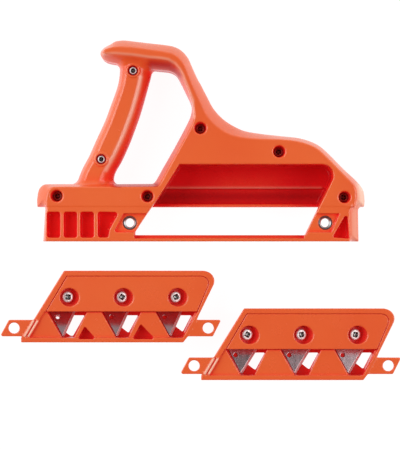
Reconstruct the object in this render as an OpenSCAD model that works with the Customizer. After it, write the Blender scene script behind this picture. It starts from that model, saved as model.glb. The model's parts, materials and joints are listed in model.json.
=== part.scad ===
// Plane for bevelling the edges of plasterboard, laid flat beside its two cutter
// cartridges. X runs along the sole, Y from the sole up to the hand grip, Z is up
// from the bench that all three pieces lie on.

/* [Body] */
// Thickness of the plane body, from the back face to the front face
body_depth = 45; // [43:0.5:48]
// Thickness of the lower fence plate that runs along the edge of the board
fence_depth = 14; // [13:0.5:16]
// Wall thickness of the two moulded shells
wall = 3; // [2.5:0.25:3.5]
// Thickness of the grip, front to back
grip_depth = 29; // [27:0.5:30]
// Thickness of the wall that closes the back of the chamber
chamber_floor = 6; // [5:0.5:7]

/* [Shell screws] */
// Diameter of the counterbores in the front shell
shell_cbore_d = 9; // [8.5:0.25:9.5]
// Height of the counterbore floors above the bench
shell_cbore_z = 32; // [30:0.5:34]
// Shank diameter of the five shell screws
shell_screw_d = 3.9; // [3.5:0.1:4]
// Head diameter of the five shell screws
shell_head_d = 7; // [6.5:0.1:7.5]
// Head diameter of the two grip screws
grip_head_d = 5.9; // [5.8:0.1:6.6]
// Shank diameter of the two grip screws
grip_screw_d = 3.5; // [3:0.1:3.8]

/* [Cartridge seat] */
// Distance between the two screw seats, and between the ear holes of a cartridge
seat_span = 147; // [146.6:0.1:147.4]
// Depth of the recesses that take the cartridge ears
ear_recess = 3; // [2.5:0.25:3.5]
// Minor diameter of the thread in the seat inserts (M8)
seat_thread_d = 6.65; // [6.6:0.01:6.7]
// Outer diameter of the seat inserts
seat_insert_d = 10.6; // [10:0.1:11]
// Diameter of the holes in the cartridge ears
ear_hole_d = 8.3; // [8.1:0.1:8.6]

/* [Cartridges] */
// Height of a cartridge lying on its back
cart_depth = 34; // [33:0.5:35]
// Bed angle of the blades in the steep cartridge
steep_bed = 20; // [16:1:21]
// Bed angle of the blades in the shallow cartridge
shallow_bed = 11; // [8:1:14]
// Sideways rake that sinks the cutting edge of each blade
rake = 8; // [6:0.5:9]
// Distance from one blade to the next
blade_pitch = 41; // [40.4:0.1:41.2]
// Thickness of a blade
blade_t = 1; // [0.8:0.1:1.2]
// Thickness of the clamp plate
clamp_t = 4.6; // [4:0.2:5]
// Diameter of the counterbores in the clamp plate
clamp_cbore_d = 13.6; // [13:0.1:14]
// Depth of the counterbores in the clamp plate
clamp_cbore_h = 8; // [7:0.5:9]
// Head diameter of the clamp screws (M4)
clamp_head_d = 8.2; // [8:0.1:8.6]

/* [Hidden] */
$fn = 48;

// places of the three pieces on the bench; each has its own zero midway between its screw seats
body_at = [19.975, -9.94, 0];
steep_at = [-68.025, -89.61, 0];
shallow_at = [68.325, -118.14, 0];

mid_z = body_depth / 2;
fence_z = body_depth - fence_depth;
sole_y = 12;
orange = [0.90, 0.38, 0.18];
steel = [0.72, 0.73, 0.76];
blade_grey = [0.55, 0.55, 0.60];
brass = [0.78, 0.63, 0.32];

// outline of the C-shaped frame, one row per corner: x and y at the parting plane,
// x and y on the flat faces, and 1 where the line runs through smoothly
RIM = [
  [-96.2, 128.2, -93.3, 128.4, 1], [-93.7, 132.3, -91.6, 130.1, 1], [-88.7, 135.2, -87.5, 131.4, 1],
  [-84.6, 137.6, -82.5, 131.9, 1], [-78, 138.3, -76, 131.8, 1], [-68, 137.2, -67, 130.9, 1],
  [-58, 136, -57.5, 129.6, 1], [-48, 134.9, -48, 128.1, 1], [-40.6, 133.6, -41.5, 126.6, 1],
  [-34.6, 130.4, -36.8, 123.6, 1], [-29.8, 124.9, -32.6, 118.2, 1],
  [-26.4, 117.5, -30, 112, 1], [-22.8, 109.5, -27, 104.5, 1], [-20, 104.5, -24.5, 99, 1],
  [-15.7, 96.2, -20.5, 90.5, 1], [-9.9, 85.7, -15.6, 80.5, 1], [-1.2, 77, -8.8, 72.9, 1],
  [9.8, 70.8, 0, 67, 1], [16.7, 68.8, 8.5, 64.4, 1], [27.4, 67.2, 22, 62.9, 1],
  [40, 65.8, 38.9, 62.5, 1], [52.1, 64.6, 50.8, 61.3, 1], [61.4, 62.3, 59.5, 59.1, 1],
  [69.6, 58.4, 67, 55.7, 1], [77, 52, 73.8, 49.7, 1], [88.2, 40.6, 84.8, 38.5, 1],
  [97.6, 31.9, 92.5, 30.8, 1], [102.8, 25, 95.8, 26, 1], [104.1, 17, 96.2, 18, 1],
  [103.6, 12, 95.6, 12, 0], [-144, 12, -136.2, 12, 0], [-144.2, 18, -136.3, 17, 1],
  [-142.6, 25.6, -135, 23.4, 1], [-138, 29.2, -131.8, 26.6, 1], [-118, 29.4, -118, 26.9, 1],
  [-84, 29.4, -84, 26.9, 1], [-57, 29.6, -53.5, 27.2, 1], [-54, 32, -49.8, 30.5, 1],
  [-48.7, 41.6, -44.3, 40.8, 1], [-40.9, 55.2, -36.8, 54.2, 1], [-31.7, 72.3, -27.8, 70.9, 1],
  [-27.8, 81, -25, 79, 1], [-27.2, 89, -25.9, 88.5, 1], [-32, 99.8, -29.4, 100.4, 1],
  [-38.2, 111.6, -35.8, 115, 1], [-44, 115, -42.2, 121.6, 1], [-57.4, 116.5, -59.5, 124.4, 1],
  [-70, 118.6, -70, 125.9, 1], [-82.5, 120.6, -80, 126.8, 1], [-90, 122, -88.6, 127, 1],
  [-94.2, 124.2, -92.6, 127.1, 1]
];

// grip, one row per station from the top bar down: back edge, then finger edge
GRIP = [
  [-83, 126, -58, 124], [-81.6, 117, -57.6, 114], [-83.3, 104.5, -60.5, 102.3],
  [-89.1, 88, -64.1, 89.4], [-93.2, 77, -67.5, 78.5], [-99.9, 62.5, -74.2, 60.5],
  [-105, 51, -80.3, 47], [-111, 39.5, -86.2, 35.4], [-117.5, 24, -86, 24]
];

// front to back steps of the shells: depth from the nearest flat face, and how far the
// outline has closed in from the parting plane (0) to the flat face (1)
STEPS = [[0, 1.6, 1], [1.6, 4.8, 0.66], [4.8, 9.6, 0.3], [9.6, 0, 0]];
GRIP_STEPS = [[0, 1.8, 0.28], [1.8, 4.6, 0.15], [4.6, 8, 0.06], [8, 0, 0]];

// screw places: x, y
SHELL_SCREWS = [[-128.4, 20.2], [-60.3, 19.9], [-20.5, 71.1], [38.7, 53.5], [87.8, 19.2]];
GRIP_SCREWS = [[-71.3, 114.9], [-95.3, 48]];

WINDOW = [
  [-36.2, 44, 0], [70.5, 44, 1], [76, 42.6, 1], [79, 38.6, 1], [79, 32.5, 1],
  [58.4, -9.3, 0], [-69.6, -9.3, 0], [-69.2, -6.4, 1], [-62.6, 3.7, 1], [-50, 22.1, 1]
];

// outline of a cartridge seen from the front
CART = [
  [-35.7, 43.4, 0], [69.5, 43.4, 1], [74.8, 41.8, 1], [77.9, 37.8, 1], [77.7, 33, 1],
  [66.3, 9.6, 0], [65, 6.4, 0], [57.6, -7, 0], [54.6, -10.9, 0], [-68.2, -10.9, 0],
  [-68.2, -7.4, 0], [-58.6, 6.4, 0]
];
CLAMP = [
  [-33.4, 39.2, 0], [67.6, 39.2, 1], [71.6, 38, 1], [73.6, 35, 1], [73.2, 31.6, 1],
  [65, 12.5, 0], [-49.2, 12.5, 0]
];

function lerp(a, b, t) = a + (b - a) * t;
function rim(t) = [for (r = RIM) [lerp(r[0], r[2], t), lerp(r[1], r[3], t), r[4]]];
function xy(p) = [p[0], p[1]];
function slope(p, i) = let (n = len(p), a = xy(p[(i + n - 1) % n]), b = xy(p[i]), c = xy(p[(i + 1) % n]))
  p[i][2] == 0 ? [0, 0] : (c - a) / norm(c - a) * min(norm(b - a), norm(c - b));
function curve(a, b, ta, tb, t) = a * (2 * t * t * t - 3 * t * t + 1) + ta * (t * t * t - 2 * t * t + t)
  + b * (3 * t * t - 2 * t * t * t) + tb * (t * t * t - t * t);
// closed line through the points, rounded wherever the third value is 1
function smooth(p, k = 3) = [for (i = [0:len(p) - 1])
  let (j = (i + 1) % len(p), m = p[i][2] == 0 && p[j][2] == 0 ? 1 : k)
  for (s = [0:m - 1]) curve(xy(p[i]), xy(p[j]), slope(p, i), slope(p, j), s / m)];
// grip outline, each edge drawn in by a share of the width
function grip_line(t) = let (n = len(GRIP) - 1) concat(
  [for (i = [0:n]) [lerp(GRIP[i][0], GRIP[i][2], t), lerp(GRIP[i][1], GRIP[i][3], t), i == 0 || i == n ? 0 : 1]],
  [for (i = [n:-1:0]) [lerp(GRIP[i][2], GRIP[i][0], t), lerp(GRIP[i][3], GRIP[i][1], t), i == 0 || i == n ? 0 : 1]]);

// height at which a step of the front shell begins and ends
function step_top(s, full) = full - s[0];
function step_low(s, full) = s[1] == 0 ? mid_z : full - s[1];

module frame_half() {
  for (s = STEPS)
    translate([0, 0, step_low(s, body_depth)])
      linear_extrude(step_top(s, body_depth) - step_low(s, body_depth))
        polygon(smooth(rim(s[2])));
}

module grip_half() {
  top = mid_z + grip_depth / 2;
  for (s = GRIP_STEPS)
    translate([0, 0, step_low(s, top)])
      linear_extrude(step_top(s, top) - step_low(s, top))
        polygon(smooth(grip_line(s[2])));
}

// hollows inside a shell half, with posts left standing round the screws
module half_hollows() {
  w = wall;
  difference() {
    union() {
      // above the window, from the grip opening to the nose
      translate([0, 0, mid_z - 1]) linear_extrude(body_depth - mid_z + 1 - w)
        polygon([[-31, 44 + w], [70, 44 + w], [64, 54], [57, 56.5], [36, 59], [14, 59.5], [3, 61.5],
          [-9, 68], [-17, 75], [-22, 72], [-33, 53]]);
      // band to the left of the window
      translate([-122, sole_y + w, mid_z - 1]) cube([55, 14.5 - 2 * w + 0.5, body_depth - mid_z + 1 - w]);
      // top bar
      translate([0, 0, mid_z - 1]) linear_extrude(body_depth - mid_z - 8.5)
        polygon([[-88, 127], [-89, 132], [-84, 134.5], [-60, 133], [-42, 130.5], [-34.5, 124], [-28, 110],
          [-33, 107], [-36.5, 115.5], [-44, 119], [-57, 120.5]]);
      // diagonal member
      translate([0, 0, mid_z - 1]) linear_extrude(body_depth - mid_z - 8.5)
        polygon([[-23.5, 81], [-23.4, 89], [-27, 98], [-22, 100], [-13, 86], [-19, 81]]);
      // grip
      intersection() {
        translate([0, 0, mid_z - 1]) linear_extrude(grip_depth / 2 + 1 - w - 2)
          polygon(smooth(grip_line(0.17)));
        translate([-120, 33, 0]) cube([80, 84, body_depth]);
      }
    }
    for (p = SHELL_SCREWS) translate([p[0], p[1], 0]) cylinder(d = shell_cbore_d + 5, h = body_depth);
    for (p = GRIP_SCREWS) translate([p[0], p[1], 0]) cylinder(d = grip_head_d + 4.3, h = body_depth);
  }
}

module ear_shape(side) {
  if (side < 0) polygon([[-77.8, 6.9], [-84.5, -5.6], [-83.2, -7.1], [-60, -7.1], [-50, 6.9]]);
  else polygon([[60, 6.9], [84, 6.9], [77.8, -7.1], [50, -7.1]]);
}

module front_shell() {
  color(orange) translate(body_at) difference() {
    union() {
      frame_half();
      grip_half();
      // fence plate, rounded at its right end
      translate([0, 0, fence_z]) linear_extrude(fence_depth - 8)
        polygon([[-139.3, -14.1], [-137.6, sole_y + 1], [98.6, sole_y + 1], [99.1, -14.1]]);
      translate([0, 0, body_depth - 8.5]) linear_extrude(5)
        polygon([[-138.8, -14.1], [-137.1, sole_y + 1], [97, sole_y + 1], [97.5, -14.1]]);
      translate([0, 0, body_depth - 4]) linear_extrude(4)
        polygon([[-137.4, -13.9], [-135.8, sole_y + 1], [92.3, sole_y + 1], [92.5, -13.9]]);
      // raised collars round the grip screws
      for (p = GRIP_SCREWS) translate([p[0], p[1], mid_z]) cylinder(d = 10.5, h = grip_depth / 2 + 0.6);
    }
    half_hollows();
    translate([0, 0, mid_z - 1]) linear_extrude(body_depth) polygon(smooth(WINDOW));
    // ledge of the bottom rail
    translate([-70, -11.9, body_depth - 7]) cube([127.5, 4, 8]);
    // ear recesses and insert bores
    for (s = [-1, 1]) {
      translate([0, 0, body_depth - ear_recess]) linear_extrude(ear_recess + 1) ear_shape(s);
      translate([s * seat_span / 2, 0, fence_z - 1]) cylinder(d = seat_insert_d, h = fence_depth + 2);
      translate([s * seat_span / 2, 0, fence_z - 1]) cylinder(d = seat_insert_d + 3.6, h = 2.6);
    }
    // lightening pockets of the fence plate, open to the front
    for (x = [-135.5, -123, -110.7]) translate([x, -11, fence_z + 2.5]) cube([10, 19.2, fence_depth]);
    translate([0, 0, fence_z + 2.5]) linear_extrude(fence_depth)
      polygon([[-97.4, -11], [-89.4, -11], [-88.4, -4.9], [-81.9, 7.6], [-97.4, 8.2]]);
    translate([0, 0, fence_z + 2.5]) linear_extrude(fence_depth)
      polygon([[87.7, 4.2], [89.8, 4.2], [90.8, -11.3], [79.4, -10.6]]);
    // counterbores and bores of the shell screws
    for (p = SHELL_SCREWS) translate([p[0], p[1], 0]) {
      translate([0, 0, shell_cbore_z]) cylinder(d = shell_cbore_d, h = body_depth);
      cylinder(d = shell_screw_d + 0.4, h = body_depth);
    }
    for (p = GRIP_SCREWS) translate([p[0], p[1], 0]) {
      translate([0, 0, mid_z + grip_depth / 2 - 3]) cylinder(d = grip_head_d + 1.9, h = 10);
      cylinder(d = grip_screw_d + 0.4, h = body_depth);
    }
  }
}

module rear_shell() {
  color(orange) translate(body_at) difference() {
    translate([0, 0, body_depth]) mirror([0, 0, 1]) difference() {
      union() {
        frame_half();
        grip_half();
      }
      half_hollows();
    }
    // chamber behind the window: deep trough above the sole, raised bed above it
    intersection() {
      linear_extrude(body_depth) polygon(smooth(WINDOW));
      union() {
        translate([-100, 26.2, chamber_floor + 3.5]) cube([200, 40, body_depth]);
        translate([-100, sole_y + 2.5, chamber_floor]) cube([200, 13.8, body_depth]);
      }
    }
    for (p = SHELL_SCREWS) translate([p[0], p[1], 6]) cylinder(d = shell_screw_d + 0.06, h = body_depth);
    for (p = GRIP_SCREWS) translate([p[0], p[1], mid_z - grip_depth / 2 + 3]) cylinder(d = grip_screw_d + 0.06, h = body_depth);
  }
}

// pan-head screw with a cross recess, its seat at z = 0
module pan_screw(head_d, head_h, shank_d, length) {
  difference() {
    union() {
      cylinder(d = head_d, h = head_h * 0.6);
      translate([0, 0, head_h * 0.6]) cylinder(d1 = head_d, d2 = head_d * 0.72, h = head_h * 0.4);
      translate([0, 0, -length]) cylinder(d = shank_d, h = length + 0.1);
    }
    for (a = [45, 135]) rotate([0, 0, a])
      translate([-head_d * 0.29, -head_d * 0.065, head_h * 0.4]) cube([head_d * 0.58, head_d * 0.13, head_h]);
  }
}

module shell_screws() {
  color(steel) translate(body_at) for (p = SHELL_SCREWS)
    translate([p[0], p[1], shell_cbore_z]) pan_screw(shell_head_d, 2.6, shell_screw_d, 24);
}

module grip_screws() {
  color(steel) translate(body_at) for (p = GRIP_SCREWS)
    translate([p[0], p[1], mid_z + grip_depth / 2 - 3]) pan_screw(grip_head_d, 2.4, grip_screw_d, 20);
}

// flanged threaded insert that a cartridge is screwed to
module seat_insert(side) {
  color(steel) translate(body_at) translate([side * seat_span / 2, 0, fence_z]) difference() {
    union() {
      cylinder(d = seat_insert_d, h = fence_depth - ear_recess);
      cylinder(d = seat_insert_d + 3.6, h = 1.6);
    }
    translate([0, 0, -1]) cylinder(d = seat_thread_d, h = fence_depth + 2);
  }
}
module seat_insert_left() seat_insert(-1);
module seat_insert_right() seat_insert(1);

// ---- cartridges, in their own frame: back at z = 0, front at z = cart_depth ----
edge_y = 12.4;          // where the blades come out from under the clamp plate
tip_y = -7;             // tip of the blades
blade_x = -38.6;        // middle of the left blade at the clamp plate
screw_x = -31.4;        // left clamp screw, where its axis meets the front
fence_c = cart_depth - fence_depth;  // fence plane, seen from the back of a cartridge
bed_wall = 3.2;           // plastic under the blades, along their middle
screw_rake = 17;        // lean of the clamp screws
// blade seen square on, its tip as far from the clamp plate as the bed angle asks for
function blade_len(bed) = (edge_y - tip_y) / cos(bed);
// the steep blades reach further left of their middle, the shallow ones further right
function blade_left(bed) = bed > 15 ? -10.5 : -9.8;
function blade_back(bed) = bed > 15 ? 0.3 : 2;
function blade_right(bed) = bed > 15 ? 10.7 : 14.4;
function blade_line(bed) = [[-2.6, 15.4], [blade_left(bed), blade_back(bed)], [blade_left(bed), 0],
  [0.6, -blade_len(bed)], [2.2, -blade_len(bed)], [blade_right(bed), 0], [blade_right(bed), 15.4]];
function blade_pocket(bed) = [[-2.8, 15.7], [blade_left(bed) - 0.3, blade_back(bed) + 0.1],
  [blade_left(bed) - 0.3, -0.6], [blade_right(bed) + 0.3, -0.6], [blade_right(bed) + 0.3, 15.7]];
function clamp_foot(bed) = [[-2.2, 15.1], [blade_left(bed) + 0.4, blade_back(bed)], [blade_left(bed) + 0.4, 0.1],
  [blade_right(bed) - 0.1, 0.1], [blade_right(bed) - 0.1, 15.1]];
// lean of the window walls, their foot to the left in the steep cartridge and to the right in the shallow one
function window_lean(bed) = bed > 15 ? 3 : -3;
function vee(bed) = let (k = bed > 15 ? 0 : 1.1) [[-10.2 - k, 0.3], [1 - k, -19.7], [10.6, -19.7], [20.6, 0.3]];
CLAMP_SEAT = [
  [-34.2, 39.6, 0], [67.7, 39.6, 1], [72, 38.3, 1], [74.1, 35.2, 1], [73.7, 31.5, 1], [65.4, 11.9, 0], [-50.3, 11.9, 0]
];
// how far the slot beside blade i stops short of the bottom of its window
function slot_stop(i, bed) = bed > 15 ? [0, 1, 1.25][i] : [1, 1.15, 1.3][i];

// bed of blade i: y' falls away from the viewer by the bed angle, x' by the rake
module on_bed(i, bed) {
  translate([blade_x + i * blade_pitch, edge_y, fence_c - (edge_y - tip_y) * tan(bed)])
    rotate([-bed, 0, 0]) rotate([0, rake, 0]) children();
}
// the same without the rake
module on_bed_level(i, bed) {
  translate([blade_x + i * blade_pitch, edge_y, fence_c - (edge_y - tip_y) * tan(bed)]) rotate([-bed, 0, 0]) children();
}
// upright bar with the outline p below the front of blade window i, leaning by a
module through(i, a, p) {
  translate([blade_x + i * blade_pitch, edge_y, cart_depth]) rotate([0, a, 0]) translate([0, 0, -50])
    linear_extrude(60) polygon(p);
}
// axis of clamp screw i, with its zero at the floor of the counterbore
module on_screw(i) {
  translate([screw_x + i * blade_pitch, 23.3, cart_depth - 0.2]) rotate([0, screw_rake, 0])
    translate([0, 0, -clamp_cbore_h]) children();
}

module cart_base(bed, pockets) {
  back_z = fence_c - bed_wall;
  color(orange) difference() {
    union() {
      intersection() {
        linear_extrude(cart_depth) polygon(smooth(CART));
        // section across the cartridge: chamfer plane below, box above the sole
        translate([-100, 0, 0]) rotate([90, 0, 90]) linear_extrude(200)
          polygon([[-10.9, cart_depth], [-10.9, cart_depth - 6], [-9.7, cart_depth - 6], [-9.7, back_z],
            [tip_y, back_z], [sole_y + 0.3, back_z - (sole_y + 0.3 - tip_y) * tan(bed)],
            [15, back_z - (sole_y + 0.3 - tip_y) * tan(bed)], [15, 0], [43.4, 0], [43.4, cart_depth]]);
      }
      // ears
      translate([0, 0, cart_depth - 3]) linear_extrude(3)
        polygon([[-77.4, 6.2], [-83.4, -4.8], [-82, -6.3], [-60, -6.3], [-54, 6.2]]);
      translate([0, 0, cart_depth - 3]) linear_extrude(3)
        polygon([[56, 6.2], [83.1, 6.2], [77, -6.3], [52, -6.3]]);
    }
    // seat of the clamp plate
    translate([0, 0, cart_depth - 0.2 - clamp_t]) linear_extrude(10)
      polygon(smooth(CLAMP_SEAT));
    // lowered field round the blade windows
    translate([0, 0, cart_depth - 1.6]) linear_extrude(4)
      polygon([[-50.3, 12.2], [-60.8, -4.6], [-62, -7.2], [54.4, -7.2], [65.6, 12.2]]);
    // slanted groove at the root of the left ear
    translate([0, 0, cart_depth - 1.2]) linear_extrude(2)
      polygon([[-58, 5.3], [-64.4, -5.7], [-63, -5.7], [-56.6, 5.3]]);
    for (i = [0:2]) {
      // pocket for the blade and the foot of the clamp plate
      intersection() {
        on_bed(i, bed) linear_extrude(60) polygon(blade_pocket(bed));
        linear_extrude(60) polygon(smooth(CLAMP_SEAT));
      }
      // V-shaped window down to the bed
      intersection() {
        through(i, window_lean(bed), vee(bed));
        on_bed(i, bed) translate([-60, -60, 0]) cube(120);
        translate([0, 0, -(blade_right(bed) + 0.2) * sin(rake)]) on_bed_level(i, bed) translate([-60, -60, 0]) cube(120);
      }
      // the left blade of the cartridge with pockets shows light through its small hole
      if (pockets && i == 0) on_bed(i, bed) translate([-3.4, -5.7, -12]) cylinder(d = 2.8, h = 13);
      // slot for the shavings, right through beside the cutting edge
      r = slot_stop(i, bed);
      through(i, window_lean(bed), [[3, -3.9], [18.3, -3.9], [9.5 + 1.8 * r, -19.2 + 2.6 * r],
        [7.6 + 2.8 * r, -19.2 + 2.6 * r], [2.4 + 1.8 * r, -15.6 + 3.7 * r]]);
      // bore of the thread insert
      on_screw(i) translate([0, 0, -22.5]) cylinder(d = 5.6, h = 22.5);
    }
    // hollows behind, round the posts of the screws
    difference() {
      union() {
        translate([-31, 33, -1]) cube([97, 4.6, cart_depth - 8]);
        for (i = [0, 1]) translate([blade_x + i * blade_pitch + 17.6, 18, -1]) cube([9.8, 16, cart_depth - 8]);
        translate([61, 21, -1]) cube([5, 14, cart_depth - 8]);
      }
    }
    for (s = [-1, 1]) translate([s * seat_span / 2, 0, 0]) cylinder(d = ear_hole_d, h = cart_depth + 1);
    if (pockets) {
      translate([0, 0, cart_depth - 10]) linear_extrude(20) polygon([[-20.2, 0.6], [-24.6, -8.3], [-12.5, -8.3]]);
      translate([0, 0, cart_depth - 10]) linear_extrude(20) polygon([[22.2, 2.4], [17, -8.3], [32.4, -8.3]]);
    }
  }
}

module cart_clamp(bed) {
  color(orange) difference() {
    intersection() {
      linear_extrude(cart_depth - 0.2) polygon(smooth(CLAMP));
      union() {
        translate([-60, 0, cart_depth - 0.2 - clamp_t + 0.02]) cube([150, 60, clamp_t]);
        for (i = [0:2]) on_bed(i, bed) translate([0, 0, blade_t]) linear_extrude(60) polygon(clamp_foot(bed));
      }
    }
    for (i = [0:2]) on_screw(i) {
      cylinder(d = clamp_cbore_d, h = 20);
      translate([0, 0, -40]) cylinder(d = 4.4, h = 41);
    }
  }
}

module cart_blade(i, bed) {
  color(blade_grey) difference() {
    on_bed(i, bed) difference() {
      linear_extrude(blade_t) polygon(blade_line(bed));
      // small hole near the left shoulder
      translate([-3.4, -5.7, -1]) cylinder(d = 3.2, h = 4);
      // bevel along the cutting edge
      translate([blade_right(bed), 0, 0]) rotate([0, 0, -atan((blade_right(bed) - 2.2) / blade_len(bed))])
        translate([-1.4, -26, 0.15]) rotate([0, 32, 0]) cube([4, 28, 4]);
    }
    on_screw(i) translate([0, 0, -40]) cylinder(d = 4.9, h = 41);
  }
}

module cart_screws() {
  color(steel) for (i = [0:2]) on_screw(i) pan_screw(clamp_head_d, 3, 4, 22);
}

// threaded inserts in the base under each blade
module cart_inserts(bed) {
  color(brass) for (i = [0:2]) difference() {
    on_screw(i) translate([0, 0, -22.4]) difference() {
      cylinder(d = 5.6, h = 20);
      translate([0, 0, -1]) cylinder(d = 4.04, h = 30);
    }
    on_bed(i, bed) translate([-15, -5, -0.6]) cube([30, 30, 60]);
  }
}

module steep_base() translate(steep_at) cart_base(steep_bed, true);
module steep_clamp_plate() translate(steep_at) cart_clamp(steep_bed);
module steep_blade_left() translate(steep_at) cart_blade(0, steep_bed);
module steep_blade_middle() translate(steep_at) cart_blade(1, steep_bed);
module steep_blade_right() translate(steep_at) cart_blade(2, steep_bed);
module steep_clamp_screws() translate(steep_at) cart_screws();
module steep_thread_inserts() translate(steep_at) cart_inserts(steep_bed);
module shallow_base() translate(shallow_at) cart_base(shallow_bed, false);
module shallow_clamp_plate() translate(shallow_at) cart_clamp(shallow_bed);
module shallow_blade_left() translate(shallow_at) cart_blade(0, shallow_bed);
module shallow_blade_middle() translate(shallow_at) cart_blade(1, shallow_bed);
module shallow_blade_right() translate(shallow_at) cart_blade(2, shallow_bed);
module shallow_clamp_screws() translate(shallow_at) cart_screws();
module shallow_thread_inserts() translate(shallow_at) cart_inserts(shallow_bed);

front_shell();
rear_shell();
shell_screws();
grip_screws();
seat_insert_left();
seat_insert_right();
steep_base();
steep_clamp_plate();
steep_blade_left();
steep_blade_middle();
steep_blade_right();
steep_clamp_screws();
steep_thread_inserts();
shallow_base();
shallow_clamp_plate();
shallow_blade_left();
shallow_blade_middle();
shallow_blade_right();
shallow_clamp_screws();
shallow_thread_inserts();
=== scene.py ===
import json
import math

import bmesh
import bpy
import numpy as np
from mathutils import Matrix, Vector

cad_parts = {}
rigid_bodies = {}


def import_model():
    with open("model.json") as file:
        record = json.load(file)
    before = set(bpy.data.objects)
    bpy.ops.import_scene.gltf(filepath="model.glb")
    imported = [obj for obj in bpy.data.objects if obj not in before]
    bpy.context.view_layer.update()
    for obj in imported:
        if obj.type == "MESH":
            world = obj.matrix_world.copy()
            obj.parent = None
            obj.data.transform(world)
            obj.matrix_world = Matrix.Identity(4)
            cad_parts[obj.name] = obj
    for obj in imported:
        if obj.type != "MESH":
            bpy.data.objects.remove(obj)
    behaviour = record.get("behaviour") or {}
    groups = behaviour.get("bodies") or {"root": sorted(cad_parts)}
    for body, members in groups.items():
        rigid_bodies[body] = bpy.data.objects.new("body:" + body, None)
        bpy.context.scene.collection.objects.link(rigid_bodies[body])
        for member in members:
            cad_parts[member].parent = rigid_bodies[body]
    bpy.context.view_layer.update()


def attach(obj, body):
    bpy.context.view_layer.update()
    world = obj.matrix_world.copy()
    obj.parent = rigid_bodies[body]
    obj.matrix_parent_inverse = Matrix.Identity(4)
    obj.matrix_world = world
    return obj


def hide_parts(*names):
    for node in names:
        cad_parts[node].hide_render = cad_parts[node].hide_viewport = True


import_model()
scene = bpy.context.scene

BODY_AT = (19.975, -9.94, 0.0)
STEEP_AT = (-68.025, -89.61, 0.0)
SHALLOW_AT = (68.325, -118.14, 0.0)

# ------------------------------------------------------------------ camera
cam_data = bpy.data.cameras.new("camera")
cam = bpy.data.objects.new("camera", cam_data)
scene.collection.objects.link(cam)
cam_data.sensor_width = 36.0
cam_data.lens = 133.87
cam_data.clip_start, cam_data.clip_end = 0.01, 20
cam.location = (-0.000725, -0.01159, 1.3)
cam.rotation_euler = (0, 0, 0)
scene.camera = cam

# ------------------------------------------------------------------ outlines, mm
# One row per corner: x and y at the parting plane, x and y on the flat faces, 1 where the line runs through smoothly.
RIM = [
    (-96.2, 128.2, -93.3, 128.4, 1), (-93.7, 132.3, -91.6, 130.1, 1), (-88.7, 135.2, -87.5, 131.4, 1),
    (-84.6, 137.6, -82.5, 131.9, 1), (-78, 138.3, -76, 131.8, 1), (-68, 137.2, -67, 130.9, 1),
    (-58, 136, -57.5, 129.6, 1), (-48, 134.9, -48, 128.1, 1), (-40.6, 133.6, -41.5, 126.6, 1),
    (-34.6, 130.4, -36.8, 123.6, 1), (-29.8, 124.9, -32.6, 118.2, 1),
    (-26.4, 117.5, -30, 112, 1), (-22.8, 109.5, -27, 104.5, 1), (-20, 104.5, -24.5, 99, 1),
    (-15.7, 96.2, -20.5, 90.5, 1), (-9.9, 85.7, -15.6, 80.5, 1), (-1.2, 77, -8.8, 72.9, 1),
    (9.8, 70.8, 0, 67, 1), (16.7, 68.8, 8.5, 64.4, 1), (27.4, 67.2, 22, 62.9, 1),
    (40, 65.8, 38.9, 62.5, 1), (52.1, 64.6, 50.8, 61.3, 1), (61.4, 62.3, 59.5, 59.1, 1),
    (69.6, 58.4, 67, 55.7, 1), (77, 52, 73.8, 49.7, 1), (88.2, 40.6, 84.8, 38.5, 1),
    (97.6, 31.9, 92.5, 30.8, 1), (102.8, 25, 95.8, 26, 1), (104.1, 17, 96.2, 18, 1),
    (103.6, 12, 95.6, 12, 0), (-144, 12, -136.2, 12, 0), (-144.2, 18, -136.3, 17, 1),
    (-142.6, 25.6, -135, 23.4, 1), (-138, 29.2, -131.8, 26.6, 1), (-118, 29.4, -118, 26.9, 1),
    (-84, 29.4, -84, 26.9, 1), (-57, 29.6, -53.5, 27.2, 1), (-54, 32, -49.8, 30.5, 1),
    (-48.7, 41.6, -44.3, 40.8, 1), (-40.9, 55.2, -36.8, 54.2, 1), (-31.7, 72.3, -27.8, 70.9, 1),
    (-27.8, 81, -25, 79, 1), (-27.2, 89, -25.9, 88.5, 1), (-32, 99.8, -29.4, 100.4, 1),
    (-38.2, 111.6, -35.8, 115, 1), (-44, 115, -42.2, 121.6, 1), (-57.4, 116.5, -59.5, 124.4, 1),
    (-70, 118.6, -70, 125.9, 1), (-82.5, 120.6, -80, 126.8, 1), (-90, 122, -88.6, 127, 1),
    (-94.2, 124.2, -92.6, 127.1, 1),
]
# Grip stations from the top bar down: back edge and finger edge at the parting plane, then the same on its flat.
GRIP = [
    (-83, 126, -58, 124, -79, 126, -62.5, 125), (-81.6, 117, -57.6, 114, -78.2, 117, -63.9, 117),
    (-83.3, 104.5, -60.5, 102.3, -79.6, 104.5, -67, 102.3), (-89.1, 88, -64.1, 89.4, -85.3, 87.6, -70.4, 89.4),
    (-93.2, 77, -67.5, 78.5, -89.4, 76.2, -74, 78.5), (-99.9, 62.5, -74.2, 60.5, -96, 61.6, -81, 60.5),
    (-105, 51, -80.3, 47, -101, 50, -87.6, 47), (-111, 39.5, -86.2, 35.4, -107.2, 38.5, -94, 35.4),
    (-118, 20, -86, 20, -114, 20, -99, 20),
]
WINDOW = [
    (-36.2, 44, 0), (70.5, 44, 1), (76, 42.6, 1), (79, 38.6, 1), (79, 32.5, 1),
    (58.4, -9.3, 0), (-69.6, -9.3, 0), (-69.2, -6.4, 1), (-62.6, 3.7, 1), (-50, 22.1, 1),
]
SHELL_SCREWS = [(-128.4, 20.2), (-60.3, 19.9), (-20.5, 71.1), (38.7, 53.5), (87.8, 19.2)]
GRIP_SCREWS = [(-71.3, 114.9), (-95.3, 48)]
SEAT = 73.5


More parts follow.
